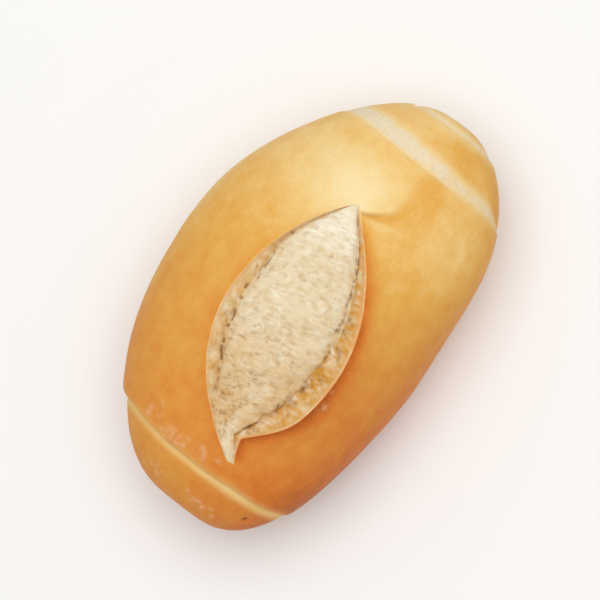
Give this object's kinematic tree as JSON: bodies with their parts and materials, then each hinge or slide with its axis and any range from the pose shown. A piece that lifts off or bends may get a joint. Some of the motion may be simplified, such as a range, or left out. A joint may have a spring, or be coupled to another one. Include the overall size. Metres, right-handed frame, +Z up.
{
  "type": "french bread roll",
  "caption": "Small oval baked bread roll with a smooth golden crust, a leaf-shaped torn slash along the top and rolled laps at both ends.",
  "frame": {"origin": "middle of the footprint, on the surface the roll lies on", "axes": "+X along the roll towards the end with two laps, +Y to its left, +Z up through the slashed crown"},
  "size_m": [0.13, 0.079, 0.059],
  "materials": {
    "bread_roll": "thin baked bread crust, satin, golden to orange-brown, with cream crumb in the slash"
  },
  "bodies": {
    "root": {"bread_roll": "bread_roll"}
  },
  "joints": []
}
